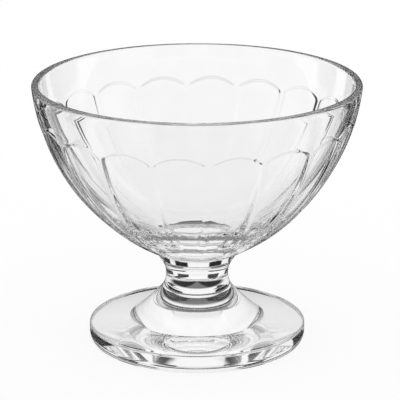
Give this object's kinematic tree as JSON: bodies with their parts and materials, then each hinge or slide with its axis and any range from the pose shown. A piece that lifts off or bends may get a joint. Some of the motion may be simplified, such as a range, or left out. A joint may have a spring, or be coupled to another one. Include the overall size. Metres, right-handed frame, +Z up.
{
  "type": "footed dessert glass",
  "caption": "Low footed dessert glass of clear pressed glass: wide fluted bowl with a plain lip band, short waisted stem and flared disc foot, for ice cream or parfait.",
  "frame": {"origin": "centre of the foot's underside, where the glass stands on the table", "axes": "+Z up along the axis of the glass; -Y is the front; the rib nearest to it stands 4 degrees towards +X"},
  "size_m": [0.11, 0.11, 0.09],
  "materials": {
    "clear_glass": "fire-polished clear"
  },
  "bodies": {
    "root": {"bowl": "clear_glass", "stem": "clear_glass", "foot": "clear_glass"}
  },
  "joints": []
}
